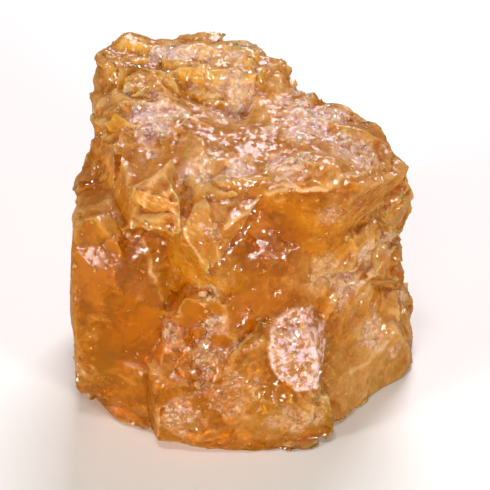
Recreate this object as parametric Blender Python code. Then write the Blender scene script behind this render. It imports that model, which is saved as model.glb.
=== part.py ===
"""A lump of yellow rock sugar, broken by hand from a large mass of crystals.

The lump is one solid. Its form is worked out as a distance: a few cleaved blocks grown together, less the hollows
that shell-shaped breaks left, and then facets of small crystals over every rough face. The surface where that
distance is zero is drawn as a net, thinned out and cut flat underneath, where the lump rests.

Metres, +Z up. The origin is at the middle of the lump's base, and the lump's front looks along -Y.
"""

import math

import bmesh
import bpy
import numpy as np
from mathutils import Euler, Matrix, Vector

# Driving dimensions of the whole lump
WIDTH = 0.043
DEPTH = 0.035
HEIGHT = 0.041
MM = 0.001

NET_STEP = 0.42 * MM  # spacing of the grid on which the distance is worked out
NET_MARGIN = 5.0 * MM
EDGE_ROUNDING = 0.6 * MM
TRIANGLES = 11400
CONTACT_CUT = 0.12 * MM  # thin skin taken off below, so that the contact face is one flat

# Facets of small crystals: size of a crystal, slope of its facet, height by which it stands out or lies in, and
# the share of all this that is left on a clear break
CRYSTALS = (
    (8.5 * MM, 0.30, 0.40 * MM, 0.35),
    (4.0 * MM, 0.31, 0.20 * MM, 0.14),
    (1.9 * MM, 0.28, 0.09 * MM, 0.05),
)
CRYSTAL_SEED = 3
RELIEF_BAND = 4.0 * MM  # how far from the big blocks' surface the relief can reach
RANDOM_ROWS = 4096
CELL_HASH = (73856093, 19349663, 83492791)

# Thin plates that stand side by side out of the right flank
PLATE_THICKNESS = 1.7 * MM
PLATE_REACH = 10.0 * MM
PLATE_STEP = 1.2 * MM
PLATE_TURN = (-14, -35, 10)
PLATE_FADE = 1.6  # how fast the steps grow from nothing at the reach towards the middle

SUGAR_COLOUR = (0.60, 0.25, 0.04, 1.0)
SUGAR_ROUGHNESS = 0.22
SUGAR_IOR = 1.54


def spot(across, along, up):
    """A point from shares: across -1 (left) to 1, along -1 (front) to 1, up 0 (base) to 1 (top)."""
    return np.array((across * WIDTH / 2, along * DEPTH / 2, up * HEIGHT))


def turned(points, middle, turn_deg):
    """The points as seen from a block's own axes."""
    axes = np.array(Euler([math.radians(a) for a in turn_deg]).to_matrix())
    return (points - middle) @ axes


def beyond(points, point, looks):
    """Distance by which the points lie beyond a plane."""
    way = np.array(looks) / np.linalg.norm(looks)
    return (points - point) @ way


def greater(a, b, rounding=EDGE_ROUNDING):
    """The greater of two distances, with the edge between them rounded."""
    return np.maximum(a, b) + np.maximum(rounding - np.abs(a - b), 0) ** 2 / (4 * rounding)


def lesser(a, b, rounding=EDGE_ROUNDING):
    return -greater(-a, -b, rounding)


def cleaved(points, faces, rounding=EDGE_ROUNDING):
    """A block that lies behind every one of the faces, each a point and the way it looks."""
    distance = None
    for point, looks in faces:
        further = beyond(points, point, looks)
        distance = further if distance is None else greater(distance, further, rounding)
    return distance


def box(points, middle, size, turn_deg, rounding):
    out = np.abs(turned(points, middle, turn_deg)) - np.array(size) / 2
    return greater(greater(out[:, 0], out[:, 1], rounding), out[:, 2], rounding)


def ellipsoid(points, middle, radii, turn_deg=(0, 0, 0)):
    own = turned(points, middle, turn_deg)
    return (np.linalg.norm(own / np.array(radii), axis=1) - 1) * min(radii)


# The faces of the main block: a point that each passes through, and the way that it looks
MAIN_FACES = (
    (spot(0.00, 0.00, 0.925), (0.02, -0.17, 1.0)),
    (spot(0.50, -0.10, 0.905), (0.40, 0.04, 1.0)),
    (spot(-0.60, 0.40, 0.940), (-0.36, 0.10, 1.0)),
    (spot(0.50, 0.34, 0.870), (0.70, 0.68, 0.30)),
    (spot(0.88, 0.00, 0.400), (1.0, 0.05, 0.02)),
    (spot(0.56, -0.48, 0.000), (0.64, -0.77, 0.02)),
    (spot(0.18, -0.94, 0.000), (0.25, -0.93, 0.18)),
    (spot(-0.07, -1.00, 0.000), (-0.43, -0.90, 0.09)),
    (spot(-0.86, -0.36, 0.150), (-0.85, -0.52, 0.10)),
    (spot(-0.84, 0.00, 0.700), (-1.0, 0.02, 0.03)),
    (spot(0.00, 0.95, 0.500), (0.16, 1.0, 0.0)),
    (spot(-0.78, 0.78, 0.500), (-0.62, 0.78, 0.05)),
    (spot(0.00, 0.72, 0.000), (0.20, 0.74, -0.62)),
    (spot(-0.78, 0.10, 0.000), (-0.80, 0.10, -0.52)),
    (spot(0.00, -0.92, 0.000), (-0.20, -0.80, -0.55)),
)

# Hollows of the shell-shaped breaks: middle, radii, turn in degrees
HOLLOWS = (
    (spot(0.26, -1.11, 0.735), (13.0 * MM, 10.0 * MM, 9.0 * MM), (10, 12, 14)),
    (spot(-0.57, -1.03, 0.640), (4.6 * MM, 8.5 * MM, 9.5 * MM), (4, 6, -20)),
    (spot(0.46, -1.32, 0.350), (8.0 * MM, 9.5 * MM, 8.5 * MM), (0, -10, 34)),
    (spot(1.43, -0.16, 0.460), (13.0 * MM, 15.0 * MM, 6.5 * MM), (0, 0, -12)),
    (spot(-0.50, -0.06, 1.140), (7.0 * MM, 8.0 * MM, 7.6 * MM), (10, 0, 20)),
    (spot(0.26, 0.16, 1.130), (7.5 * MM, 6.5 * MM, 7.6 * MM), (0, 12, 30)),
    (spot(0.15, 1.66, 0.480), (15.0 * MM, 14.0 * MM, 12.0 * MM), (0, 12, 0)),
    (spot(-0.78, 1.38, 0.250), (9.0 * MM, 9.0 * MM, 8.0 * MM), (0, 0, 30)),
    (spot(0.95, 1.05, 0.620), (8.0 * MM, 8.0 * MM, 11.0 * MM), (0, 10, -40)),
)

# Where breaks are clear, so that few small crystals stand out: middle, reach, how clear. Roughness sets in again
# over a stretch that ends at a share of the reach.
CLEAR_END = 1.25
CLEAR_FADE = 0.45
CLEAR_PLACES = (
    (spot(0.20, -0.72, 0.690), 8.5 * MM, 1.0),
    (spot(-0.46, -0.70, 0.620), 5.5 * MM, 0.9),
    (spot(-0.88, -0.50, 0.400), 10.5 * MM, 1.0),
    (spot(-0.82, -0.62, 0.150), 8.0 * MM, 1.0),
    (spot(0.76, -0.36, 0.160), 6.5 * MM, 0.6),
    (spot(0.40, -0.80, 0.320), 4.5 * MM, 0.6),
    (spot(0.15, 0.85, 0.480), 12.0 * MM, 0.9),
    (spot(-0.48, -0.12, 0.930), 4.5 * MM, 0.7),
    (spot(0.30, 0.12, 0.900), 4.5 * MM, 0.7),
)


def core(points):
    """Distance from the big blocks, less the hollows."""
    main = cleaved(points, MAIN_FACES)
    column = box(points, spot(-0.70, -0.22, 0.400), (13.5 * MM, 19 * MM, 29 * MM), (2, 2, -18), 7 * MM)
    wedge = cleaved(
        points,
        (
            (spot(1.00, 0.00, 0.05), (1.0, 0.16, 0.30)),
            (spot(0.60, -0.45, 0.10), (0.64, -0.72, 0.22)),
            (spot(0.80, -0.20, 0.34), (0.42, -0.36, 0.84)),
            (spot(0.60, 0.50, 0.20), (0.30, 0.90, 0.30)),
            (spot(0.10, 0.00, 0.20), (-1.0, 0.0, 0.0)),
            (spot(0.94, 0.00, 0.00), (0.5, 0.0, -0.86)),
        ),
    )
    foot = box(points, spot(-0.04, -0.60, 0.190), (21 * MM, 12 * MM, 17 * MM), (-8, 3, 3), 3 * MM)
    nose = cleaved(
        points,
        (
            (spot(-0.28, -0.80, 0.780), (-0.45, -0.88, 0.12)),
            (spot(-0.10, -0.88, 0.800), (0.30, -0.93, 0.16)),
            (spot(-0.33, -0.76, 0.700), (-0.70, -0.20, -0.65)),
            (spot(-0.04, -0.80, 0.760), (0.80, -0.30, -0.50)),
            (spot(-0.15, -0.80, 0.850), (0.0, -0.17, 1.0)),
            (spot(0.00, -0.30, 0.700), (0.0, 1.0, 0.0)),
        ),
    )
    crest = box(points, spot(-0.34, 0.62, 0.890), (15 * MM, 11 * MM, 8 * MM), (-8, -5, 14), 2 * MM)
    whole = main
    for grown in (wedge, foot, crest):
        whole = lesser(whole, grown)
    for place, radii, turn in HOLLOWS:
        whole = greater(whole, -ellipsoid(points, place, radii, turn))
    whole = lesser(whole, column, 2.5 * MM)
    return lesser(whole, nose)


def roughness(points):
    """1 on the rough faces, less on each clear break."""
    rough = np.ones(len(points))
    for place, reach, clear in CLEAR_PLACES:
        away = np.linalg.norm(points - place, axis=1) / reach
        rough = np.minimum(rough, 1 - clear * np.clip((CLEAR_END - away) / CLEAR_FADE, 0, 1))
    return rough


def crystal_facets(points, size, slope, height, seed):
    """What the facets of small crystals add to the distance. Each crystal is the space nearest to its own heart."""
    draws = np.random.default_rng(seed).uniform(-1, 1, (RANDOM_ROWS, 7))
    draws[:, 3:6] /= np.linalg.norm(draws[:, 3:6], axis=1)[:, None]
    scaled = points / size
    home = np.floor(scaled).astype(np.int64)
    nearest = np.full(len(points), np.inf)
    leans = np.zeros(len(points))
    for step in np.ndindex(3, 3, 3):
        cell = home + np.array(step) - 1
        row = (cell * CELL_HASH).sum(axis=1) % RANDOM_ROWS
        from_heart = scaled - cell - 0.5 - 0.5 * draws[row, :3]
        distance = (from_heart**2).sum(axis=1)
        closer = distance < nearest
        lean = (from_heart * draws[row, 3:6]).sum(axis=1) * slope * size + draws[row, 6] * height
        leans = np.where(closer, lean, leans)
        nearest = np.minimum(nearest, distance)
    return leans


def plates(points):
    """How much the thin plates of the right flank add to the distance, each plate by its own step."""
    own = turned(points, spot(0.86, -0.30, 0.64), PLATE_TURN)
    number = np.floor(own[:, 2] / PLATE_THICKNESS).astype(np.int64)
    steps = np.random.default_rng(CRYSTAL_SEED).uniform(-1, 1, RANDOM_ROWS)[number % RANDOM_ROWS]
    near = np.clip((1 - np.linalg.norm(own, axis=1) / PLATE_REACH) * PLATE_FADE, 0, 1)
    return steps * PLATE_STEP * near


def lump_distance(points):
    """Distance from the lump's surface, below 0 inside it."""
    distance = core(points)
    band = np.abs(distance) < RELIEF_BAND
    near = points[band]
    relief = plates(near)
    rough = roughness(near)
    for level, (size, slope, height, left) in enumerate(CRYSTALS):
        relief += crystal_facets(near, size, slope, height, CRYSTAL_SEED + level) * (left + (1 - left) * rough)
    distance[band] += relief
    bounds = box(points, spot(0, 0, 0.5), (WIDTH, DEPTH, HEIGHT + 2 * NET_MARGIN), (0, 0, 0), EDGE_ROUNDING)
    distance = greater(greater(distance, bounds), points[:, 2] - HEIGHT)
    return np.maximum(distance, -points[:, 2])


def surface_net(distance, low, step):
    """Points and quads of the surface where a grid of distances crosses zero, one point in each crossed cell."""
    cells = np.array(distance.shape) - 1
    total = np.zeros((*cells, 3))
    crossings = np.zeros(cells, dtype=np.int64)
    quads = []
    for axis in range(3):
        others = ((axis + 1) % 3, (axis + 2) % 3)
        start = np.take(distance, range(cells[axis]), axis=axis)
        end = np.take(distance, range(1, cells[axis] + 1), axis=axis)
        crossed = (start < 0) != (end < 0)
        share = np.where(crossed, start / np.where(crossed, start - end, 1), 0)
        for corner in np.ndindex(2, 2):
            window = [slice(None)] * 3
            for other, side in zip(others, corner):
                window[other] = slice(side, side + cells[other])
            window = tuple(window)
            crossings += crossed[window]
            total[..., axis] += share[window]
            for other, side in zip(others, corner):
                total[..., other] += side * crossed[window]
        quads.append((axis, others, crossed, start < 0))
    number = np.full(cells, -1)
    number[crossings > 0] = np.arange(np.count_nonzero(crossings))
    corner_of = np.argwhere(crossings > 0)
    points = low + (corner_of + total[crossings > 0] / crossings[crossings > 0][:, None]) * step
    faces = []
    for axis, others, crossed, inside_first in quads:
        at = np.argwhere(crossed)
        loop = []
        for side in ((-1, -1), (0, -1), (0, 0), (-1, 0)):
            cell = at.copy()
            for other, move in zip(others, side):
                cell[:, other] += move
            loop.append(number[tuple(cell.T)])
        loop = np.stack(loop, axis=1)
        outward = inside_first[tuple(at.T)]
        faces.append(np.where(outward[:, None], loop, loop[:, ::-1]))
    return points, np.concatenate(faces)


def build_lump():
    """The lump as one mesh object, drawn from its distance."""
    half = np.array((WIDTH / 2, DEPTH / 2, HEIGHT / 2)) + NET_MARGIN
    low = np.array((0, 0, HEIGHT / 2)) - half
    counts = np.ceil(2 * half / NET_STEP).astype(int) + 1
    axes = [low[i] + NET_STEP * np.arange(counts[i]) for i in range(3)]
    grid = np.stack(np.meshgrid(*axes, indexing="ij"), axis=-1).reshape(-1, 3)
    distance = lump_distance(grid).reshape(counts)
    points, quads = surface_net(distance, low, NET_STEP)
    mesh = bpy.data.meshes.new("rock_sugar_lump")
    mesh.from_pydata(points.tolist(), [], quads.tolist())
    lump = bpy.data.objects.new("rock_sugar_lump", mesh)
    bpy.context.scene.collection.objects.link(lump)
    return lump


def apply_modifiers(obj):
    graph = bpy.context.evaluated_depsgraph_get()
    mesh = bpy.data.meshes.new_from_object(obj.evaluated_get(graph))
    obj.modifiers.clear()
    obj.data = mesh


def even_mesh(lump):
    """Lays the net again, so that no two sheets of it share a point."""
    remesh = lump.modifiers.new("even", "REMESH")
    remesh.mode = "VOXEL"
    remesh.voxel_size = NET_STEP
    apply_modifiers(lump)


def thin_out(lump):
    """Keeps ridges and drops points from the flat of each facet."""
    lump.data.calc_loop_triangles()
    decimate = lump.modifiers.new("facets", "DECIMATE")
    decimate.ratio = TRIANGLES / len(lump.data.loop_triangles)
    decimate.use_collapse_triangulate = True
    apply_modifiers(lump)


def cut_base(lump):
    """Cuts the underside flat, where the lump came off the mass and now rests."""
    low = min(vertex.co.z for vertex in lump.data.vertices)
    bm = bmesh.new()
    bmesh.ops.create_cube(bm, size=3 * WIDTH)
    bmesh.ops.translate(bm, vec=(0, 0, low + CONTACT_CUT - 1.5 * WIDTH), verts=bm.verts)
    mesh = bpy.data.meshes.new("ground")
    bm.to_mesh(mesh)
    bm.free()
    ground = bpy.data.objects.new("ground", mesh)
    bpy.context.scene.collection.objects.link(ground)
    cut = lump.modifiers.new("cut", "BOOLEAN")
    cut.operation = "DIFFERENCE"
    cut.object = ground
    cut.solver = "MANIFOLD"
    apply_modifiers(lump)
    bpy.data.objects.remove(ground)


def keep_largest(lump):
    """Keeps the largest connected surface, without scraps that a break cut loose and without sealed hollows."""
    bm = bmesh.new()
    bm.from_mesh(lump.data)
    waiting = set(bm.verts)
    bodies = []
    while waiting:
        body = [waiting.pop()]
        for vertex in body:
            near = [edge.other_vert(vertex) for edge in vertex.link_edges]
            fresh = [other for other in near if other in waiting]
            waiting.difference_update(fresh)
            body.extend(fresh)
        bodies.append(body)
    bodies.sort(key=len)
    for scrap in bodies[:-1]:
        bmesh.ops.delete(bm, geom=scrap, context="VERTS")
    bm.to_mesh(lump.data)
    bm.free()


def settle(lump):
    """Brings the lump to its driving dimensions, with the middle of its base at the origin."""
    low = Vector([min(v.co[i] for v in lump.data.vertices) for i in range(3)])
    high = Vector([max(v.co[i] for v in lump.data.vertices) for i in range(3)])
    base = Vector(((low.x + high.x) / 2, (low.y + high.y) / 2, low.z))
    span = high - low
    scale = Matrix.Diagonal((WIDTH / span.x, DEPTH / span.y, HEIGHT / span.z)).to_4x4()
    lump.data.transform(scale @ Matrix.Translation(-base))


def sugar():
    material = bpy.data.materials.new("yellow_rock_sugar")
    material.use_nodes = True
    shader = material.node_tree.nodes["Principled BSDF"]
    shader.inputs["Base Color"].default_value = SUGAR_COLOUR
    shader.inputs["Roughness"].default_value = SUGAR_ROUGHNESS
    shader.inputs["Metallic"].default_value = 0.0
    shader.inputs["IOR"].default_value = SUGAR_IOR
    return material


def main():
    for obj in list(bpy.data.objects):
        bpy.data.objects.remove(obj)
    lump = build_lump()
    even_mesh(lump)
    keep_largest(lump)
    thin_out(lump)
    cut_base(lump)
    keep_largest(lump)
    settle(lump)
    lump.data.materials.clear()
    lump.data.materials.append(sugar())


main()
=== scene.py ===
"""Looks of a lump of yellow rock sugar: clear and chipped faces, fine crystals and a plain pale studio.

Metres, +Z up, in the frame of the CAD model. The camera looks along +Y from 36 degrees above the floor.
"""

import math

import bmesh
import bpy
import numpy as np
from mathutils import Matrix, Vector
from mathutils.kdtree import KDTree

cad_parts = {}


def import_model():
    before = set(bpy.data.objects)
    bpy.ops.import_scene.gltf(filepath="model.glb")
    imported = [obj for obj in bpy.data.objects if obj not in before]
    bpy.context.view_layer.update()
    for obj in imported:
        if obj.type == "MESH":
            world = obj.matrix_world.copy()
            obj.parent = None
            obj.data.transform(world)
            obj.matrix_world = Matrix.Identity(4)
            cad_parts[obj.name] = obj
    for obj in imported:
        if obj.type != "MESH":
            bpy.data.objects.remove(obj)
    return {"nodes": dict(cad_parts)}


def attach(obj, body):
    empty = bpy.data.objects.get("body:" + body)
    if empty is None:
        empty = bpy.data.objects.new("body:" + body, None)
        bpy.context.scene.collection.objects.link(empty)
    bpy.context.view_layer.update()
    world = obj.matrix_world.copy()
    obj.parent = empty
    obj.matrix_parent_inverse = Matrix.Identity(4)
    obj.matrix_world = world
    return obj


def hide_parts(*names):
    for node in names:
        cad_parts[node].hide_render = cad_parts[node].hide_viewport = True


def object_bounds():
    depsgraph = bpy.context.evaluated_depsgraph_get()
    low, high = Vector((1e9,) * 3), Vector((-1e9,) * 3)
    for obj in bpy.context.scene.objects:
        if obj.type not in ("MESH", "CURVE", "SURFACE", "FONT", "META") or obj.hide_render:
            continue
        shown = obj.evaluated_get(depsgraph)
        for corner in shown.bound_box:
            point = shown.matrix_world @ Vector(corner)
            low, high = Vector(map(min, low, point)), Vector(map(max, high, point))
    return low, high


MM = 0.001
TINY = 1e-9  # keeps a length of 0 out of a division

NET_STEP = 0.25 * MM  # spacing of the points of the visible surface
TRIANGLES = 195000  # of the finished lump
SHARP_DEG = 22  # an edge between facets that turns by more than this is drawn sharp
FACE_ROUNDS = 2  # rounds of smoothing that take the CAD model's own small triangles out of its faces
BREAK_ROUNDS = 1  # rounds of smoothing of the flat breaks
OUTWARD_ROUNDS = 2  # rounds of smoothing of the directions in which relief stands out

# Flat breaks that the surface is cleaved into: how many, how flat, how far a point may move for it
FACETS = (
    (110, 0.65, 0.9 * MM),
    (900, 0.80, 0.4 * MM),
)
FACET_LEAN = 1.3  # how much facets keep to one direction, against keeping close together
FACET_ROUNDS = 4
FACET_SEED = 40
FACET_PARTS = 40  # the points are compared with the facets in so many parts, to save memory

# Crystals: size, and how far they stand out as a share of it, on whole faces and where it is chipped
CRYSTALS = (
    (1.9 * MM, 0.02, 0.22),
    (1.0 * MM, 0.00, 0.30),
)
CRYSTAL_SEED = 71
CRYSTAL_UNEVEN = 0.22  # how much higher or lower than the rest a crystal may be, in sizes
CRYSTAL_REST = -0.38  # the average height of crystals, in sizes, which leaves the surface where it is

# Larger crystal faces at the back: size, and how far they stand out as a share of it
BACK_CRYSTALS = (
    (6.5 * MM, 0.34),
    (2.8 * MM, 0.24),
)
BACK_SEED = 78
BACK_FROM = 1.0 * MM  # the depth where they begin
BACK_RAMP = 7.0 * MM  # how far behind it they stand out in full

SWELL = 0.22 * MM  # soft swells over the whole surface
SWELL_SIZE = 3.2 * MM
SWELL_SEED = 15

# Against the box of the CAD model the surface is sunk, to give its relief room
BOX_MARGIN = 1.2 * MM
BOX_SINK = 0.50 * MM

# Random values are drawn in rows, and each cell of space takes the row that its hash names
RANDOM_ROWS = 4096
CELL_HASH = (73856093, 19349663, 83492791)

# Chipped places, in mm: where, how far they reach, how frosted they are
CHIPPED_PLACES = (
    ((-10.9, 0.3, 38.7), 4.6, 0.80),
    ((-9.0, 12.5, 40.5), 3.0, 0.85),
    ((-2.3, 3.9, 37.1), 2.8, 0.55),
    ((-1.0, 6.8, 38.0), 3.2, 0.65),
    ((-6.0, -9.0, 36.0), 2.4, 0.45),
    ((14.0, -5.5, 22.5), 2.2, 0.55),
    ((7.6, 1.3, 37.4), 5.6, 0.80),
    ((12.8, -3.3, 35.4), 3.0, 0.60),
    ((5.3, -7.4, 37.2), 3.2, 0.60),
    ((-1.1, -7.4, 36.3), 2.2, 0.70),
    ((10.3, -9.0, 31.1), 2.0, 0.30),
    ((-4.4, -15.2, 32.6), 1.6, 0.55),
    ((16.7, -3.1, 23.8), 3.0, 0.45),
    ((-4.2, -13.8, 23.1), 2.2, 0.25),
    ((10.0, -9.6, 22.5), 3.0, 0.30),
    ((13.0, -7.5, 19.0), 3.2, 0.55),
    ((-3.7, -15.2, 18.2), 2.4, 0.55),
    ((-0.2, -14.4, 15.6), 2.6, 0.60),
    ((-9.4, -14.6, 16.3), 2.2, 0.40),
    ((-4.1, -14.9, 13.7), 3.0, 0.30),
    ((16.4, -4.7, 9.5), 2.8, 0.60),
    ((-20.8, -11.3, 9.0), 1.8, 0.45),
    ((-7.5, -17.2, 6.4), 3.2, 0.50),
    ((-2.0, -17.2, 9.0), 4.5, 0.25),
    ((6.0, -14.5, 4.5), 3.5, 0.35),
    ((20.0, -4.5, 5.5), 2.0, 0.60),
    ((-17.0, 10.0, 30.0), 4.5, 0.55),
    ((-19.0, 4.0, 14.0), 4.0, 0.45),
    ((-8.0, 16.5, 28.0), 4.5, 0.55),
    ((8.0, 15.0, 31.0), 4.0, 0.50),
    ((13.0, 14.0, 11.0), 5.0, 0.45),
    ((-8.0, 17.0, 9.0), 4.0, 0.35),
    ((3.0, 17.0, 19.0), 5.0, 0.20),
    ((-15.0, 14.0, 17.0), 3.5, 0.35),
    ((3.5, 16.5, 3.5), 3.0, 0.30),
    ((-1.0, 17.0, 29.0), 2.4, 0.35),
    ((11.0, 15.5, 23.0), 2.6, 0.45),
    ((7.0, 17.0, 12.0), 2.2, 0.30),
    ((-13.0, 16.0, 24.0), 2.2, 0.40),
    ((17.0, 1.0, 13.0), 2.6, 0.35),
    ((20.0, 6.0, 20.0), 4.5, 0.50),
    ((19.0, 8.0, 6.0), 3.5, 0.35),
    ((14.0, 9.0, 34.0), 3.5, 0.70),
    ((-2.0, 12.0, 38.0), 3.5, 0.60),
)
CHIPPED_EDGE = 0.45  # width of a chipped place's edge, as a share of its reach
CHIPPED_DEPTH = 0.22 * MM
CHIPPED_WANDER = 0.55  # how far the edge wanders, as a share of the reach
CHIPPED_WANDER_SIZE = 1.6 * MM
CHIPPED_SEEDS = (11, 12)

# The round frosted chip low on the front, in mm: its middle, and half its width, depth and height
CHIP_MIDDLE = (6.4, -13.8, 13.9)
CHIP_HALVES = (4.2, 6.0, 5.4)
CHIP_SLANT = 0.35  # how far its lower end lies to the right, in half widths
CHIP_POINTED = 0.5  # how much it narrows towards its lower end
CHIP_EDGE = 0.09  # width of its edge, in halves
CHIP_RISE = 0.40 * MM
CHIP_CRYSTALS = 0.75  # how much crystals stand out on it, against a chipped place
CHIP_GRAINS = 0.25  # how likely a grain is on it, against a chipped place
CHIP_FROST = 0.72  # how frosted it is
CHIP_CLEARER = 0.30  # how much less frosted it is on its clearer side
CHIP_CLEARER_SIDE = (0.6, 0.5)  # how much its clearer side lies to the right, and how much above

# How the edge of the round chip wanders: how far in halves, over what length, and the seed
CHIP_WANDERS = (
    (0.14, 2.2 * MM, 13),
    (0.09, 0.9 * MM, 14),
)

# Paler and deeper parts of the lump, in mm: where, how far they reach, how much paler than the rest
TONES = (
    ((-17.5, -12.5, 22.0), 8.0, -0.45),
    ((-17.5, -12.0, 27.5), 4.0, -0.25),
    ((3.0, -10.5, 27.3), 4.0, -0.40),
    ((-16.5, -12.0, 9.0), 7.0, -0.45),
    ((-10.5, -12.0, 20.0), 5.0, -0.20),
    ((-6.5, -13.5, 18.0), 4.0, -0.35),
    ((-2.5, -13.5, 22.5), 4.0, -0.30),
    ((0.0, -13.5, 18.5), 4.0, -0.30),
    ((9.0, -9.5, 29.5), 4.0, -0.25),
    ((5.5, -10.0, 34.5), 3.0, -0.25),
    ((19.0, -2.5, 27.0), 6.0, 0.45),
    ((17.0, -4.0, 8.0), 6.0, 0.50),
    ((14.0, -8.0, 2.0), 5.5, 0.45),
    ((-6.0, -17.0, 11.0), 6.0, -0.35),
    ((-14.0, 7.5, 38.0), 6.0, 0.30),
    ((-4.5, 13.0, 40.0), 6.5, 0.40),
    ((-2.0, 6.5, 38.0), 5.5, 0.40),
    ((-4.5, -10.5, 35.5), 5.5, 0.55),
    ((9.5, -12.5, 7.0), 4.0, 0.30),
    ((14.0, -6.0, 19.5), 5.5, 0.45),
    ((3.0, 16.0, 20.0), 8.0, 0.30),
    ((-18.0, 8.0, 8.0), 7.0, -0.30),
)
TONE_END = 1.4  # the distance at which a tone has faded away, in reaches

# Pale crack lines, in mm: the points that each runs through
CRACKS = (
    (
        (-13.3, -10.7, 36.7),
        (-12.2, -12.0, 33.0),
        (-11.5, -11.9, 27.6),
        (-11.1, -11.8, 22.7),
        (-8.3, -13.7, 18.8),
    ),
    ((-10.0, -9.7, 37.0), (-12.2, -12.0, 33.0)),
    ((-8.6, -13.7, 34.4), (-7.0, -14.0, 31.1), (-5.8, -15.0, 28.8), (-3.4, -15.4, 26.9)),
    ((-2.2, -15.6, 33.6), (1.0, -12.4, 35.0), (5.0, -9.7, 35.2), (8.9, -10.0, 35.2), (12.9, -8.7, 35.8)),
    ((12.9, -8.7, 35.8), (15.6, -4.3, 34.2)),
    ((17.6, -3.8, 7.5), (15.1, -5.3, 5.6), (12.6, -7.7, 5.2)),
    ((-17.0, 13.0, 29.0), (-12.5, 15.5, 25.0), (-10.5, 16.5, 19.0)),
    ((-1.0, 17.0, 13.5), (2.0, 17.0, 8.5), (1.0, 16.5, 4.0)),
    ((6.0, 15.5, 33.0), (9.0, 16.0, 24.0), (15.0, 13.5, 18.0)),
)
CRACK_WIDTH = 0.46 * MM
CRACK_RISE = 0.17 * MM
CRACK_STEP = 0.20 * MM  # spacing of the places that a line is laid through
CRACK_WANDER = 0.35 * MM
CRACK_WANDER_SIZE = 2.2 * MM
CRACK_SEEDS = (20, 21, 22)
CRACK_SHOWN = 0.80  # how strongly a line shows on average
CRACK_FADE = 0.70  # how much stronger or fainter it may show
CRACK_FADE_SEED = 24

# Striations, in mm: where, how far they reach, the direction across them
STRIATIONS = (
    ((14.5, -5.5, 31.0), 6.0, (-0.75, 0.10, 0.65)),
    ((-5.0, 10.0, 40.0), 5.5, (0.55, 0.80, 0.20)),
    ((-9.0, -13.0, 33.0), 4.5, (0.50, 0.20, 0.80)),
    ((9.0, -13.0, 8.0), 5.5, (0.80, -0.20, 0.55)),
    ((-20.0, 2.0, 26.0), 6.0, (0.10, 0.50, 0.85)),
)
STRIATION_STEP = 0.95 * MM
STRIATION_RISE = 0.11 * MM
STRIATION_EDGE = 0.35  # width of the edge of a place with striations, as a share of its reach
STRIATION_BEND = 0.9  # how far the steps bend, in steps
STRIATION_BEND_SIZE = 5.0 * MM
STRIATION_SEED = 30
STRIATION_LINE = 0.22  # width of the pale line along each step, in steps
STRIATION_PALE = 0.6  # how strongly that line shows, against a crack line

# Grains: small crystals that sit in the chipped places, each a flat six-sided prism with slanting ends
GRAINS = 1900
GRAIN_SIZES = (0.35 * MM, 1.10 * MM)
GRAIN_SMALLER = 1.6  # above 1, small grains are more common than large ones
GRAIN_SHAPE = (1.0, 0.78, 0.62)  # its measures in three directions, in sizes
GRAIN_STRETCH = (0.8, 1.25)  # the least and the most that each measure is multiplied by
GRAIN_SIDES = 6
GRAIN_SLANT = 0.24
GRAIN_UNEVEN = 0.30  # how far each corner strays, as a share of its distance from the middle
GRAIN_SINK = 0.34  # how far its middle lies below the surface, in sizes
GRAIN_CLUSTER = 3.0 * MM  # grains within one cluster lie much the same way
GRAIN_STRAY = 0.40  # how much each grain turns away from its cluster
GRAIN_SEED = 5
GRAIN_FLOOR = 0.8 * MM  # no grain sits below this height
GRAIN_REST = 0.05  # how likely a grain is on a whole face, against a chipped place

RIDGE_ROUNDS = 14  # rounds of smoothing that ridges and crevices are measured against
RIDGE_HEIGHT = 0.20 * MM  # a ridge or crevice of this height counts in full
UPWARD_FROM = 0.3  # how far up a face looks where it begins to count as upward, 1 being straight up
UPWARD_RAMP = 0.5  # how much further up it looks where it counts in full

DEEP_AMBER = (0.72, 0.29, 0.005, 1)
MID_AMBER = (0.84, 0.43, 0.020, 1)
PALE_AMBER = (0.85, 0.54, 0.20, 1)
# painted shade: the brown that crevices are darkened towards
CREVICE_SHADE_BROWN = (0.55, 0.17, 0.004, 1)
FROST_WHITE = (0.84, 0.68, 0.80, 1)
GRAIN_AMBER = (0.86, 0.52, 0.17, 1)
GRAIN_PALE = (0.90, 0.67, 0.58, 1)
CLEAR_SUGAR = (0.9937, 0.9617, 0.02, 1)  # what the clear sugar lets through
CLEAR_DENSITY = 600
SUGAR_IOR = 1.46

# Patterns: size, detail, roughness and warp of a noise, and the values at which it begins and is full
DEPTH = (12 * MM, 3, 0.50, 0.4, 0.36, 0.64)
VEIL = (4.5 * MM, 5, 0.60, 1.2, 0.44, 0.66)
MOTTLE = (1.3 * MM, 4, 0.65, 0.8, 0.46, 0.66)
SPECKLE = (0.6 * MM, 3, 0.70, 0.0, 0.48, 0.64)
ICING = (0.9 * MM, 3, 0.65, 0.0, 0.42, 0.58)

# Specks: small round spots where the sugar is veiled
SPECK_SPACING = 1.1 * MM
SPECK_CORE = 0.09  # how far out a speck begins to fade, in spacings
SPECK_RADIUS = 0.15  # how far out it has ended

# How much each of these makes the sugar paler; on upward faces this is a painted sheen and on ridges
# painted highlights
VEIL_PALE = 0.35
CHIPPED_PALE = 0.40
MOTTLE_PALE = 0.25
# painted sheen: upward faces made paler, as light from above falls on them
UPWARD_PAINTED_SHEEN = 0.25
# painted highlights: ridges made paler, as where edges catch the light
RIDGE_PAINTED_HIGHLIGHT = 0.35
SPECK_PALE = 0.75
LINE_PALE = 1.2

TONE_AMBER = 0.8  # how much the tone moves the amber from deep to mid
RIDGE_FROM = 0.1  # a ridge or crevice shows from this share of its full height
CREVICE_SHADE_DEPTH = 0.65  # how far crevices are darkened towards brown, as painted shade

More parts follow.
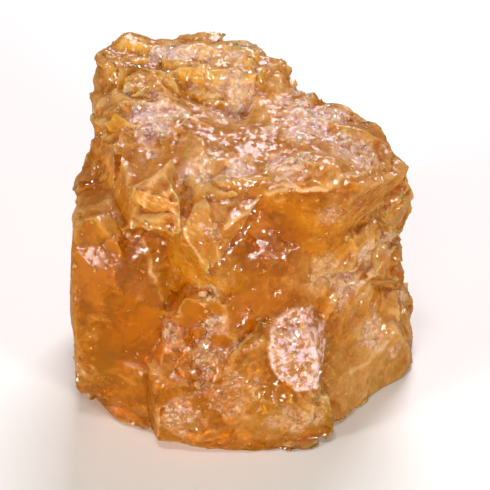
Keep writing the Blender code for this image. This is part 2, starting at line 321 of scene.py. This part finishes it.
# How white the frost of each kind is, at least and at most
SPECKLE_WHITE = (0.20, 0.95)
ICING_WHITE = (0.18, 1.15)
LINE_WHITE = (0.0, 0.20)
LINE_WHITE_FROM = 0.35  # how strongly a crack line shows where it begins to be white

DARK_TONE = -0.45  # sugar of this tone is rougher and glints less
ROUGH_TONE = -0.10  # from this tone on it is no rougher than the rest
GLINT_TONE = 0.20  # from this tone on it glints in full

SUGAR_ROUGHNESS = (0.11, 0.15)  # on whole faces and where it is chipped
FROST_ROUGHNESS = 0.06
DARK_ROUGHNESS = 0.16
UPWARD_ROUGHNESS = 0.12

PALE_CLOUDY = 0.5  # how much paler sugar is cloudy, against white frost
SUGAR_CLEARNESS = (0.84, 0.15)  # of the clearest and the cloudiest sugar

SUGAR_TILT = (0.10, 0.55)  # how far tiny facets tilt, on whole faces and where it is chipped
UPWARD_TILT = 0.15
GLINT_TILT = (0.15, 0.55)  # how much further those that glint tilt, in dark sugar and in the rest
GLINT_FACET = 0.50 * MM
GLINT_SPREAD = 1.7  # size of the cells that decide which facets glint, in facets
GLINT_ABOVE = 0.6  # the facets glint where such a cell's random value is above this

WAVE_STRENGTH = 0.35
WAVE_HEIGHT = 0.10 * MM
WAVE_SIZE = 0.9 * MM
WAVE_DETAIL = 4
WAVE_ROUGHNESS = 0.6

SCATTER_COLOURS = (1.0, 0.75, 0.35)  # how far red, green and blue light goes inside
SUGAR_SCATTER = 1.6 * MM
GRAIN_SCATTER = 0.20 * MM
GRAIN_ROUGHNESS = 0.11
GRAIN_CLEARNESS = (0.60, 0.20)  # without frost and with it

FLOOR_PALE = (0.80, 0.78, 0.71, 1)
FLOOR_MIRRORED = (0.42, 0.29, 0.15, 1)  # the floor as the sugar's gloss mirrors it: warmer and darker
FLOOR_ROUGHNESS = 0.7
FLOOR_HALF = 3.0
FLOOR_HEIGHT = -0.02 * MM

# Lights: place, width and height, power, colour
LIGHTS = {
    "key": ((0.06, 0.24, 0.32), (0.18, 0.15), 1.53, (0.90, 0.87, 1.0)),
    "left": ((-0.30, -0.22, 0.12), (0.10, 0.10), 1.06, (0.99, 0.97, 0.96)),
    "right": ((0.24, -0.34, 0.13), (0.09, 0.09), 1.17, (0.99, 0.97, 0.96)),
    "top": ((-0.03, -0.16, 0.44), (0.06, 0.06), 0.50, (0.94, 0.92, 1.0)),
    "low": ((-0.06, -0.42, 0.07), (0.06, 0.04), 0.30, (1.0, 0.95, 0.98)),
}
WORLD_COLOUR = (1.0, 0.97, 0.94, 1)
WORLD_STRENGTH = 0.10
BOUNCES = 16
TRANSMISSION_BOUNCES = 12

CAMERA_ELEVATION = 36
CAMERA_LENS = 296
CAMERA_DISTANCE = 0.50
CAMERA_NEAR = 0.01
AIM = Vector((0.0, 0.0, 0.0195))


def away_from(points, place, reach):
    """How far each point is from a place given in mm, in reaches."""
    return np.linalg.norm(points - np.array(place) * MM, axis=1) / (reach * MM)


def held(values):
    """The values, held between 0 and 1."""
    return np.clip(values, 0, 1)


def random_row(cells):
    """The number of the row of random values that each cell of space takes."""
    return (cells * CELL_HASH).sum(axis=1) % RANDOM_ROWS


def cloud(points, size, seed):
    """A smooth random value from -1 to 1 that changes over about one size."""
    draws = np.random.default_rng(seed).uniform(-1, 1, RANDOM_ROWS)
    scaled = points / size
    home = np.floor(scaled).astype(np.int64)
    within = scaled - home
    eased = within * within * (3 - 2 * within)
    total = np.zeros(len(points))
    for step in np.ndindex(2, 2, 2):
        row = random_row(home + step)
        total += draws[row] * np.where(step, eased, 1 - eased).prod(axis=1)
    return total


def crystal_corners(points, size, seed):
    """How far the corners of turned box crystals stand out at each point, in sizes.

    Neighbouring crystals meet in sharp valleys.
    """
    draws = np.random.default_rng(seed)
    hearts = draws.uniform(-0.5, 0.5, (RANDOM_ROWS, 3))
    heights = draws.uniform(-CRYSTAL_UNEVEN, CRYSTAL_UNEVEN, RANDOM_ROWS)
    turns = np.linalg.qr(draws.normal(size=(RANDOM_ROWS, 3, 3)))[0]
    scaled = points / size
    home = np.floor(scaled).astype(np.int64)
    best = np.full(len(points), -np.inf)
    for step in np.ndindex(3, 3, 3):
        cell = home + np.array(step) - 1
        row = random_row(cell)
        from_heart = scaled - cell - 0.5 - hearts[row]
        reach = np.abs(np.einsum("nij,nj->ni", turns[row], from_heart)).max(axis=1)
        best = np.maximum(best, heights[row] - reach)
    return best - CRYSTAL_REST


def nearest_facets(points, outward, hearts, leans, size):
    """The number of the facet that each point is nearest to, in place and in direction."""
    here = np.concatenate((points / size, outward * FACET_LEAN), axis=1)
    there = np.concatenate((hearts / size, leans * FACET_LEAN), axis=1)
    offset = (there**2).sum(axis=1) / 2
    found = [np.argmin(offset - part @ there.T, axis=1) for part in np.array_split(here, FACET_PARTS)]
    return np.concatenate(found)


def cleaved(points, outward, area, count, flatness, most, seed):
    """The points moved towards the flat facets that fit them best."""
    chosen = np.random.default_rng(seed).choice(len(points), count, replace=False)
    hearts, leans = points[chosen], outward[chosen]
    size = math.sqrt(area / count)
    for _ in range(FACET_ROUNDS):
        facet = nearest_facets(points, outward, hearts, leans, size)
        members = np.maximum(np.bincount(facet, minlength=count), 1)[:, None]
        hearts = np.stack([np.bincount(facet, points[:, i], count) for i in range(3)], axis=1) / members
        leans = np.stack([np.bincount(facet, outward[:, i], count) for i in range(3)], axis=1)
        leans /= np.maximum(np.linalg.norm(leans, axis=1), TINY)[:, None]
    above = ((points - hearts[facet]) * leans[facet]).sum(axis=1)
    return points - leans[facet] * (flatness * np.clip(above, -most, most))[:, None]


def chipped_share(points):
    """1 where small pieces have broken away and 0 on whole faces, and how frosted each point is."""
    coarse, fine = CHIPPED_SEEDS
    wander = cloud(points, CHIPPED_WANDER_SIZE, coarse)
    wander = wander + 0.5 * cloud(points, CHIPPED_WANDER_SIZE / 2, fine)
    chipped = np.zeros(len(points))
    frosted = np.zeros(len(points))
    for place, reach, frost in CHIPPED_PLACES:
        inside = held((1 - away_from(points, place, reach) + CHIPPED_WANDER * wander) / CHIPPED_EDGE)
        chipped = np.maximum(chipped, inside)
        frosted = np.maximum(frosted, frost * inside)
    return chipped, frosted


def crowded(points, low, high):
    """1 against the sides and top of the CAD model's box, where relief has no room, and 0 well inside."""
    room = np.minimum(high - points, points - low)
    room[:, 2] = high[2] - points[:, 2]
    return held(1 - room.min(axis=1) / BOX_MARGIN)


def paler_share(points):
    """How much paler than the rest the sugar is at each point."""
    paler = np.zeros(len(points))
    for place, reach, amount in TONES:
        paler += amount * held(TONE_END - away_from(points, place, reach)) / TONE_END
    return paler


def round_chip(points):
    """1 on the round chip and 0 beside it, and how frosted it is: less towards its clearer side."""
    from_middle = (points - np.array(CHIP_MIDDLE) * MM) / (np.array(CHIP_HALVES) * MM)
    across, depth, up = from_middle.T
    across = across - CHIP_SLANT * held(-up)
    away = np.sqrt(across**2 * (1 + CHIP_POINTED * held(-up)) + depth**2 + up**2)
    wander = sum(far * cloud(points, size, seed) for far, size, seed in CHIP_WANDERS)
    inside = held((1 - away - wander) / CHIP_EDGE)
    right, above = CHIP_CLEARER_SIDE
    return inside, inside * (CHIP_FROST - CHIP_CLEARER * held(right * across + above * up))


def crack_places(crack):
    """Places close together along a crack line, which wanders a little."""
    places = []
    for start, end in zip(crack, crack[1:]):
        start, end = np.array(start) * MM, np.array(end) * MM
        steps = math.ceil(np.linalg.norm(end - start) / CRACK_STEP)
        straight = start + (end - start) * np.linspace(0, 1, steps + 1)[:, None]
        wander = np.stack([cloud(straight, CRACK_WANDER_SIZE, seed) for seed in CRACK_SEEDS], axis=1)
        places.append(straight + CRACK_WANDER * wander)
    return np.concatenate(places)


def crack_share(points):
    """Up to 1 on the pale crack lines, which fade here and there, and 0 away from them.

    Each line is laid onto the surface.
    """
    surface = KDTree(len(points))
    for number, point in enumerate(points):
        surface.insert(point, number)
    surface.balance()
    share = np.zeros(len(points))
    for crack in CRACKS:
        for place in crack_places(crack):
            laid = surface.find(place)[0]
            for _, number, away in surface.find_range(laid, CRACK_WIDTH):
                share[number] = max(share[number], 1 - away / CRACK_WIDTH)
    return share * held(CRACK_SHOWN + CRACK_FADE * cloud(points, CRACK_WANDER_SIZE, CRACK_FADE_SEED))


def striations(points):
    """How far the fine parallel steps lift each point, from 0 to 1, and how near it is to a step's edge."""
    lift = np.zeros(len(points))
    line = np.zeros(len(points))
    for number, (place, reach, across) in enumerate(STRIATIONS):
        across = np.array(across) / np.linalg.norm(across)
        inside = held((1 - away_from(points, place, reach)) / STRIATION_EDGE)
        bend = STRIATION_BEND * cloud(points, STRIATION_BEND_SIZE, STRIATION_SEED + number)
        phase = (points @ across / STRIATION_STEP + bend) % 1.0
        lift = np.maximum(lift, inside * phase)
        line = np.maximum(line, inside * held(1 - (1 - phase) / STRIATION_LINE))
    return lift, line


def relief(points, low, high):
    """How far each point is lifted by chips, cracks, striations, swells and crystals."""
    chipped, _ = chipped_share(points)
    chip, _ = round_chip(points)
    chipped = np.maximum(chipped, CHIP_CRYSTALS * chip)
    crack = crack_share(points)
    steps, _ = striations(points)
    lift = -CHIPPED_DEPTH * chipped + CHIP_RISE * chip + CRACK_RISE * crack + STRIATION_RISE * steps
    lift -= BOX_SINK * crowded(points, low, high)
    lift += SWELL * cloud(points, SWELL_SIZE, SWELL_SEED)
    for level, (size, whole, broken) in enumerate(CRYSTALS):
        corners = crystal_corners(points, size, CRYSTAL_SEED + level)
        lift += corners * size * (whole + (broken - whole) * chipped)
    behind = held((points[:, 1] - BACK_FROM) / BACK_RAMP)
    for level, (size, share) in enumerate(BACK_CRYSTALS):
        lift += behind * share * size * crystal_corners(points, size, BACK_SEED + level)
    return lift


def apply_modifiers(obj):
    """Puts the mesh that the modifiers make in the place of the object's own."""
    graph = bpy.context.evaluated_depsgraph_get()
    mesh = bpy.data.meshes.new_from_object(obj.evaluated_get(graph))
    obj.modifiers.clear()
    obj.data = mesh


def per_point(mesh, what):
    """A vector for each point of the mesh, such as its place."""
    flat = np.empty(len(mesh.vertices) * 3)
    mesh.vertices.foreach_get(what, flat)
    return flat.reshape(-1, 3)


def move_points(mesh, points):
    """Moves the points of the mesh to new places."""
    mesh.vertices.foreach_set("co", points.ravel())
    mesh.update()


def store(mesh, name, values):
    """Keeps a number for each point under a name that a material can read."""
    attribute = mesh.attributes.new(name, "FLOAT", "POINT")
    attribute.data.foreach_set("value", values.astype(np.float32))


def evened(mesh, points, rounds):
    """The points after some rounds of moving each to the middle of its neighbours."""
    ends = np.empty(len(mesh.edges) * 2, dtype=np.int64)
    mesh.edges.foreach_get("vertices", ends)
    first, second = ends.reshape(-1, 2).T
    count = np.bincount(ends, minlength=len(points))
    for _ in range(rounds):
        total = np.empty_like(points)
        for axis in range(3):
            total[:, axis] = np.bincount(first, points[second, axis], len(points))
            total[:, axis] += np.bincount(second, points[first, axis], len(points))
        points = total / count[:, None]
    return points


def drop_scraps(mesh):
    """Leaves only the largest connected part of the mesh."""
    bm = bmesh.new()
    bm.from_mesh(mesh)
    left = set(bm.verts)
    parts = []
    while left:
        part = set()
        front = {next(iter(left))}
        while front:
            part |= front
            front = {edge.other_vert(vert) for vert in front for edge in vert.link_edges} - part
        left -= part
        parts.append(part)
    parts.sort(key=len)
    for part in parts[:-1]:
        bmesh.ops.delete(bm, geom=list(part), context="VERTS")
    bm.to_mesh(mesh)
    bm.free()


def sharpen(mesh):
    """Smooth shading inside each facet and a sharp edge between facets."""
    bm = bmesh.new()
    bm.from_mesh(mesh)
    for face in bm.faces:
        face.smooth = True
    limit = math.radians(SHARP_DEG)
    for edge in bm.edges:
        edge.smooth = len(edge.link_faces) != 2 or edge.calc_face_angle() < limit
    bm.to_mesh(mesh)
    bm.free()


def fine_net(node):
    """A copy of the CAD lump, as a finer and even net."""
    lump = bpy.data.objects.new("sugar_lump", node.data.copy())
    bpy.context.scene.collection.objects.link(lump)
    remesh = lump.modifiers.new("net", "REMESH")
    remesh.mode = "VOXEL"
    remesh.voxel_size = NET_STEP
    apply_modifiers(lump)
    return lump


def broken_flat(mesh):
    """The points of the net, smoothed and then moved onto flat breaks."""
    points = evened(mesh, per_point(mesh, "co"), FACE_ROUNDS)
    area = sum(face.area for face in mesh.polygons)
    for level, (count, flatness, most) in enumerate(FACETS):
        move_points(mesh, points)
        outward = per_point(mesh, "normal")
        points = cleaved(points, outward, area, count, flatness, most, FACET_SEED + level)
    return evened(mesh, points, BREAK_ROUNDS)


def store_kinds_and_shape(mesh, points):
    """Stores the kind of sugar at each point of the lump, and how ridged and how upward-facing it is, which
    the material turns into painted highlights, painted shade and a painted sheen.
    """
    outward = per_point(mesh, "normal")
    ridge = ((points - evened(mesh, points, RIDGE_ROUNDS)) * outward).sum(axis=1) / RIDGE_HEIGHT
    chipped, frosted = chipped_share(points)
    store(mesh, "ridge", np.clip(ridge, -1, 1))
    store(mesh, "upward", held((outward[:, 2] - UPWARD_FROM) / UPWARD_RAMP))
    store(mesh, "chipped", chipped)
    store(mesh, "frosted", frosted)
    store(mesh, "chip", round_chip(points)[1])
    store(mesh, "tone", paler_share(points))
    store(mesh, "line", np.maximum(crack_share(points), STRIATION_PALE * striations(points)[1]))


def visible_lump(node, low, high):
    """The CAD lump with its flat breaks and its fine relief, the kind of sugar at each point, and how
    ridged and upward-facing each point is, for painted light and shade.
    """
    lump = fine_net(node)
    mesh = lump.data
    points = broken_flat(mesh)
    move_points(mesh, points)
    outward = evened(mesh, per_point(mesh, "normal"), OUTWARD_ROUNDS)
    points = points + outward * relief(points, low, high)[:, None]
    points[:, 2] = np.maximum(points[:, 2], low[2])
    own_low, own_high = points.min(axis=0), points.max(axis=0)
    move_points(mesh, low + (points - own_low) * (high - low) / (own_high - own_low))

    thin = lump.modifiers.new("thin", "DECIMATE")
    thin.ratio = TRIANGLES / (2 * len(mesh.polygons))
    apply_modifiers(lump)
    mesh = lump.data
    drop_scraps(mesh)
    points = np.clip(per_point(mesh, "co"), low, high)
    move_points(mesh, points)
    store_kinds_and_shape(mesh, points)
    sharpen(mesh)
    return lump


def grain_corners():
    """The corners and faces of one grain, one unit in each direction."""
    corners = []
    for end in (-0.5, 0.5):
        for corner in range(GRAIN_SIDES):
            angle = math.radians(360 / GRAIN_SIDES * corner)
            across = 0.5 * math.cos(angle)
            corners.append((across, 0.5 * math.sin(angle), end + GRAIN_SLANT * across))
    lower = list(range(GRAIN_SIDES))
    upper = [corner + GRAIN_SIDES for corner in lower]
    faces = [lower[::-1], upper]
    for corner in lower:
        after = (corner + 1) % GRAIN_SIDES
        faces.append([corner, after, upper[after], upper[corner]])
    return np.array(corners), faces


def turn_matrices(quaternions):
    """The rotation matrix of each quaternion, whatever its length."""
    w, x, y, z = (quaternions / np.linalg.norm(quaternions, axis=1)[:, None]).T
    rows = (
        (1 - 2 * (y * y + z * z), 2 * (x * y - w * z), 2 * (x * z + w * y)),
        (2 * (x * y + w * z), 1 - 2 * (x * x + z * z), 2 * (y * z - w * x)),
        (2 * (x * z - w * y), 2 * (y * z + w * x), 1 - 2 * (x * x + y * y)),
    )
    return np.array(rows).transpose(2, 0, 1)


def grain_places(mesh, draws):
    """Where the grains sit, which way the surface looks there and how frosted it is."""
    count = len(mesh.polygons)
    centres, outward, areas = np.empty(count * 3), np.empty(count * 3), np.empty(count)
    mesh.polygons.foreach_get("center", centres)
    mesh.polygons.foreach_get("normal", outward)
    mesh.polygons.foreach_get("area", areas)
    centres, outward = centres.reshape(-1, 3), outward.reshape(-1, 3)
    chipped, frosted = chipped_share(centres)
    chip, icing = round_chip(centres)
    chipped = np.maximum(chipped * (1 - chip), CHIP_GRAINS * chip)
    frosted = np.maximum(frosted, icing)
    likely = areas * (GRAIN_REST + chipped) * (centres[:, 2] > GRAIN_FLOOR)
    chosen = draws.choice(count, GRAINS, replace=False, p=likely / likely.sum())
    return centres[chosen], outward[chosen], frosted[chosen]


def turned_grains(centres, corners, draws):
    """The size of each grain, and its corners around its own middle."""
    least, most = GRAIN_SIZES
    sizes = least * (most / least) ** (draws.uniform(0, 1, GRAINS) ** GRAIN_SMALLER)
    shapes = sizes[:, None] * np.array(GRAIN_SHAPE) * draws.uniform(*GRAIN_STRETCH, (GRAINS, 3))
    clusters = draws.normal(size=(RANDOM_ROWS, 4))
    lying = clusters[random_row(np.floor(centres / GRAIN_CLUSTER).astype(np.int64))]
    lying = lying / np.linalg.norm(lying, axis=1)[:, None] + GRAIN_STRAY * draws.normal(size=(GRAINS, 4))
    uneven = corners[None] * draws.uniform(1 - GRAIN_UNEVEN, 1 + GRAIN_UNEVEN, (GRAINS, len(corners), 3))
    return sizes, np.einsum("nij,nkj->nki", turn_matrices(lying), uneven * shapes[:, None])


def sugar_grains(lump, low, high):
    """Small crystals in the chipped places of the lump, and a few on its whole faces."""
    draws = np.random.default_rng(GRAIN_SEED)
    centres, outward, frosted = grain_places(lump.data, draws)
    corners, faces = grain_corners()
    sizes, turned = turned_grains(centres, corners, draws)
    middles = centres - outward * sizes[:, None] * GRAIN_SINK
    points = turned + middles[:, None]
    points += np.maximum(low - points.min(axis=1), 0)[:, None]
    points -= np.maximum(points.max(axis=1) - high, 0)[:, None]
    made = [[corner + len(corners) * grain for corner in face] for grain in range(GRAINS) for face in faces]
    mesh = bpy.data.meshes.new("sugar_grains")
    mesh.from_pydata(points.reshape(-1, 3).tolist(), [], made)
    store(mesh, "frosted", np.repeat(frosted, len(corners)))
    grains = bpy.data.objects.new("sugar_grains", mesh)
    bpy.context.scene.collection.objects.link(grains)
    return grains


class Shades:
    """Makes shader nodes in one material and links them."""

    def __init__(self, material):
        material.use_nodes = True
        self.nodes = material.node_tree.nodes
        self.links = material.node_tree.links
        self.shader = self.nodes["Principled BSDF"]
        self.place = self.nodes.new("ShaderNodeTexCoord").outputs["Object"]

    def feed(self, socket, value):
        """Gives a socket a number, a colour or another node's result."""
        if isinstance(value, bpy.types.NodeSocket):
            self.links.new(value, socket)
        else:
            socket.default_value = value

    def ranged(self, value, from_low, from_high, to_low=0.0, to_high=1.0):
        """A number moved from one range to another, and held inside it."""
        made = self.nodes.new("ShaderNodeMapRange")
        names = ("Value", "From Min", "From Max", "To Min", "To Max")
        for name, number in zip(names, (value, from_low, from_high, to_low, to_high)):
            self.feed(made.inputs[name], number)
        return made.outputs["Result"]

    def between(self, share, ends):
        """A number between two ends."""
        return self.ranged(share, 0.0, 1.0, *ends)

    def math(self, operation, *values):
        """The result of a sum."""
        made = self.nodes.new("ShaderNodeMath")
        made.operation = operation
        for socket, value in zip(made.inputs, values):
            self.feed(socket, value)
        return made.outputs[0]

    def weighed(self, *parts):
        """The values added up, each times its weight."""
        total = 0.0
        for value, weight in parts:
            total = self.math("MULTIPLY_ADD", value, weight, total)
        return total

    def mixed(self, share, a, b):
        """A colour between a and b."""
        made = self.nodes.new("ShaderNodeMix")
        made.data_type = "RGBA"
        for socket, value in zip((made.inputs[0], made.inputs[6], made.inputs[7]), (share, a, b)):
            self.feed(socket, value)
        return made.outputs[2]

    def cloud(self, size, detail, roughness, warp=0.0):
        """A smooth random value that changes over about one size."""
        made = self.nodes.new("ShaderNodeTexNoise")
        self.feed(made.inputs["Vector"], self.place)
        self.feed(made.inputs["Scale"], 1 / size)
        self.feed(made.inputs["Detail"], detail)
        self.feed(made.inputs["Roughness"], roughness)
        self.feed(made.inputs["Distortion"], warp)
        return made.outputs["Fac"]

    def pattern(self, size, detail, roughness, warp, begins, full, ends=(0.0, 1.0)):
        """A number between two ends that follows a cloud."""
        return self.ranged(self.cloud(size, detail, roughness, warp), begins, full, *ends)

    def stored(self, name):
        """The number that is kept for each point of the mesh under a name."""
        made = self.nodes.new("ShaderNodeAttribute")
        made.attribute_name = name
        return made.outputs["Fac"]

    def cells(self, size, output="Color"):
        """The random colour of each cell of about one size, or the distance from its middle."""
        made = self.nodes.new("ShaderNodeTexVoronoi")
        self.feed(made.inputs["Vector"], self.place)
        self.feed(made.inputs["Scale"], 1 / size)
        return made.outputs[output]

    def vector(self, operation, *values):
        """The result of a vector sum; a number among the values is its scale."""
        made = self.nodes.new("ShaderNodeVectorMath")
        made.operation = operation
        sockets = (made.inputs[0], made.inputs["Scale"] if operation == "SCALE" else made.inputs[1])
        for socket, value in zip(sockets, values):
            self.feed(socket, value)
        return made.outputs[0]

    def leaning(self, tilt, glint_tilt):
        """The surface's normal, tilted at random in each tiny facet, further in some, over slight waves."""
        lean = self.vector("SUBTRACT", self.cells(GLINT_FACET), (0.5, 0.5, 0.5))
        chance = self.nodes.new("ShaderNodeSeparateXYZ")
        self.feed(chance.inputs[0], self.cells(GLINT_FACET * GLINT_SPREAD))
        glints = self.math("GREATER_THAN", chance.outputs[0], GLINT_ABOVE)
        tilt = self.math("ADD", tilt, self.math("MULTIPLY", glints, glint_tilt))
        normal = self.nodes.new("ShaderNodeNewGeometry").outputs["Normal"]
        tilted = self.vector("NORMALIZE", self.vector("ADD", normal, self.vector("SCALE", lean, tilt)))
        made = self.nodes.new("ShaderNodeBump")
        made.inputs["Strength"].default_value = WAVE_STRENGTH
        made.inputs["Distance"].default_value = WAVE_HEIGHT
        self.feed(made.inputs["Height"], self.cloud(WAVE_SIZE, WAVE_DETAIL, WAVE_ROUGHNESS))
        self.feed(made.inputs["Normal"], tilted)
        return made.outputs["Normal"]


def scatter_inside(shader, scale):
    """Gives a shader the refraction of sugar, and spreads the light that enters it."""
    shader.inputs["IOR"].default_value = SUGAR_IOR
    shader.inputs["Subsurface Weight"].default_value = 1.0
    shader.inputs["Subsurface Radius"].default_value = SCATTER_COLOURS
    shader.inputs["Subsurface Scale"].default_value = scale


def sugar_material():
    """Clear amber sugar with milky veils, frost in its chips and tiny facets that glint, plus painted
    highlights on ridges, painted shade in crevices and a painted sheen on upward faces.
    """
    material = bpy.data.materials.new("yellow_rock_sugar")
    make = Shades(material)
    names = ("chipped", "frosted", "chip", "ridge", "line", "upward", "tone")
    chipped, frosted, chip, ridge, line, upward, tone = (make.stored(name) for name in names)

    veil = make.pattern(*VEIL)
    amber_share = make.math("ADD", make.pattern(*DEPTH), make.math("MULTIPLY", tone, TONE_AMBER))
    amber = make.mixed(amber_share, DEEP_AMBER, MID_AMBER)
    specks = make.ranged(make.cells(SPECK_SPACING, "Distance"), SPECK_CORE, SPECK_RADIUS, SPECK_PALE, 0.0)
    # The sugar's own paler parts, with a painted sheen on upward faces and painted highlights on ridges
    pale = make.weighed(
        (veil, VEIL_PALE),
        (chipped, CHIPPED_PALE),
        (make.pattern(*MOTTLE), MOTTLE_PALE),
        # painted sheen on upward faces
        (upward, UPWARD_PAINTED_SHEEN),
        (tone, 1.0),
        # painted highlights along ridges
        (make.ranged(ridge, RIDGE_FROM, 1.0), RIDGE_PAINTED_HIGHLIGHT),
        (specks, veil),
        (line, LINE_PALE),
    )
    pale = make.math("MAXIMUM", make.math("MINIMUM", pale, 1.0), 0.0)
    veils_and_painted_light = make.mixed(pale, amber, PALE_AMBER)
    # Painted shade: crevices are darkened towards brown by how deep they are
    crevice_shade = make.ranged(ridge, -RIDGE_FROM, -1.0, 0.0, CREVICE_SHADE_DEPTH)
    crevice_shaded = make.mixed(crevice_shade, veils_and_painted_light, CREVICE_SHADE_BROWN)
    white = make.math("MULTIPLY", frosted, make.between(make.pattern(*SPECKLE), SPECKLE_WHITE))
    iced = make.math("MULTIPLY", chip, make.pattern(*ICING, ICING_WHITE))
    white = make.math("MAXIMUM", white, iced)
    white = make.math("MAXIMUM", white, make.ranged(line, LINE_WHITE_FROM, 1.0, *LINE_WHITE))
    make.feed(make.shader.inputs["Base Color"], make.mixed(white, crevice_shaded, FROST_WHITE))

    rough = make.weighed(
        (make.between(chipped, SUGAR_ROUGHNESS), 1.0),
        (frosted, FROST_ROUGHNESS),
        (make.ranged(tone, DARK_TONE, ROUGH_TONE, DARK_ROUGHNESS, 0.0), 1.0),
        (upward, UPWARD_ROUGHNESS),
    )
    make.feed(make.shader.inputs["Roughness"], rough)
    cloudy = make.weighed((pale, PALE_CLOUDY), (white, 1.0))
    make.feed(make.shader.inputs["Transmission Weight"], make.between(cloudy, SUGAR_CLEARNESS))
    scatter_inside(make.shader, SUGAR_SCATTER)
    tilt = make.weighed((make.between(chipped, SUGAR_TILT), 1.0), (upward, UPWARD_TILT))
    glint_tilt = make.ranged(tone, DARK_TONE, GLINT_TONE, *GLINT_TILT)
    make.feed(make.shader.inputs["Normal"], make.leaning(tilt, glint_tilt))

    absorb = make.nodes.new("ShaderNodeVolumeAbsorption")
    absorb.inputs["Color"].default_value = CLEAR_SUGAR
    absorb.inputs["Density"].default_value = CLEAR_DENSITY
    make.links.new(absorb.outputs["Volume"], make.nodes["Material Output"].inputs["Volume"])
    return material


def grain_material():
    """Small clear crystals, paler and cloudier where they are frosted."""
    material = bpy.data.materials.new("sugar_crystals")
    make = Shades(material)
    frosted = make.stored("frosted")
    make.feed(make.shader.inputs["Base Color"], make.mixed(frosted, GRAIN_AMBER, GRAIN_PALE))
    make.feed(make.shader.inputs["Transmission Weight"], make.between(frosted, GRAIN_CLEARNESS))
    make.shader.inputs["Roughness"].default_value = GRAIN_ROUGHNESS
    scatter_inside(make.shader, GRAIN_SCATTER)
    return material


def floor_material():
    """A plain pale floor, warmer and darker where the sugar's gloss mirrors it."""
    material = bpy.data.materials.new("pale_floor")
    make = Shades(material)
    ray = make.nodes.new("ShaderNodeLightPath").outputs
    mirrored = make.math("GREATER_THAN", ray["Is Glossy Ray"], ray["Is Transmission Ray"])
    make.feed(make.shader.inputs["Base Color"], make.mixed(mirrored, FLOOR_PALE, FLOOR_MIRRORED))
    make.shader.inputs["Roughness"].default_value = FLOOR_ROUGHNESS
    return material


def area_light(name, place, size, power, colour):
    """A light that looks at the lump."""
    data = bpy.data.lights.new(name, "AREA")
    data.shape = "RECTANGLE"
    data.size, data.size_y = size
    data.energy = power
    data.color = colour
    light = bpy.data.objects.new(name, data)
    bpy.context.scene.collection.objects.link(light)
    light.location = place
    light.rotation_mode = "QUATERNION"
    light.rotation_quaternion = (Vector(place) - AIM).to_track_quat("Z", "Y")


def studio_floor():
    """A flat floor just below the lump."""
    bm = bmesh.new()
    bmesh.ops.create_grid(bm, x_segments=1, y_segments=1, size=FLOOR_HALF)
    mesh = bpy.data.meshes.new("floor")
    bm.to_mesh(mesh)
    bm.free()
    mesh.materials.append(floor_material())
    floor = bpy.data.objects.new("floor", mesh)
    bpy.context.scene.collection.objects.link(floor)
    floor.location.z = FLOOR_HEIGHT


def studio():
    """A faint even light from all around, the lights and the floor."""
    world = bpy.data.worlds.new("studio")
    bpy.context.scene.world = world
    world.use_nodes = True
    background = world.node_tree.nodes["Background"]
    background.inputs["Color"].default_value = WORLD_COLOUR
    background.inputs["Strength"].default_value = WORLD_STRENGTH
    for name, light in LIGHTS.items():
        area_light(name, *light)
    studio_floor()


def camera():
    """A camera that looks down at the lump from the front."""
    data = bpy.data.cameras.new("camera")
    data.lens = CAMERA_LENS
    data.clip_start = CAMERA_NEAR
    made = bpy.data.objects.new("camera", data)
    bpy.context.scene.collection.objects.link(made)
    angle = math.radians(CAMERA_ELEVATION)
    back = Vector((0, -math.cos(angle), math.sin(angle)))
    made.location = AIM + back * CAMERA_DISTANCE
    made.rotation_mode = "QUATERNION"
    made.rotation_quaternion = back.to_track_quat("Z", "Y")
    bpy.context.scene.camera = made


def main():
    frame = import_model()
    cad_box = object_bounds()
    low, high = (np.array(corner) for corner in cad_box)
    lump = visible_lump(frame["nodes"]["rock_sugar_lump"], low, high)
    lump.data.materials.clear()
    lump.data.materials.append(sugar_material())
    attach(lump, "root")
    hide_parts("rock_sugar_lump")
    grains = sugar_grains(lump, low, high)
    grains.data.materials.append(grain_material())
    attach(grains, "root")
    studio()
    camera()
    bpy.context.scene.view_settings.view_transform = "Standard"
    cycles = bpy.context.scene.cycles
    cycles.max_bounces = BOUNCES
    cycles.transmission_bounces = TRANSMISSION_BOUNCES


main()
